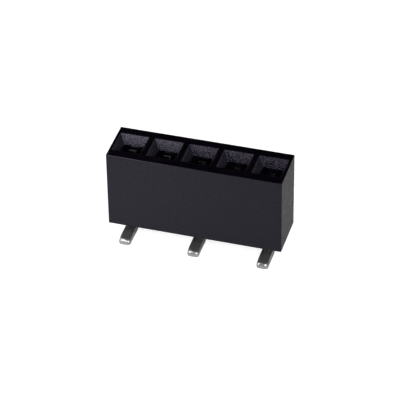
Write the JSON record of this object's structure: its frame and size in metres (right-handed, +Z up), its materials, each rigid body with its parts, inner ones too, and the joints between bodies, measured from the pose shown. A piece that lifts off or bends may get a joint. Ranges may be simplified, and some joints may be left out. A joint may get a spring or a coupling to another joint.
{
  "type": "female pin header strip",
  "caption": "Single-row surface-mount socket strip: a moulded block with funnelled square sockets over spring contacts, whose solder tails leave to alternate sides.",
  "frame": {"origin": "centre of the row's footprint, on the board plane that the tails' undersides lie in", "axes": "+X along the row from contact 1 to the last, +Y from front to back, where the first tail points to the front (-Y), +Z up out of the sockets"},
  "size_m": [0.0126, 0.0046, 0.0074],
  "materials": {
    "housing_plastic": "matt black moulding, finely spark-eroded texture",
    "contact_metal": "bright tin plating over a copper alloy"
  },
  "bodies": {
    "root": {"housing": "housing_plastic", "contact_1": "contact_metal", "contact_2": "contact_metal", "contact_3": "contact_metal", "contact_4": "contact_metal", "contact_5": "contact_metal"}
  },
  "joints": []
}
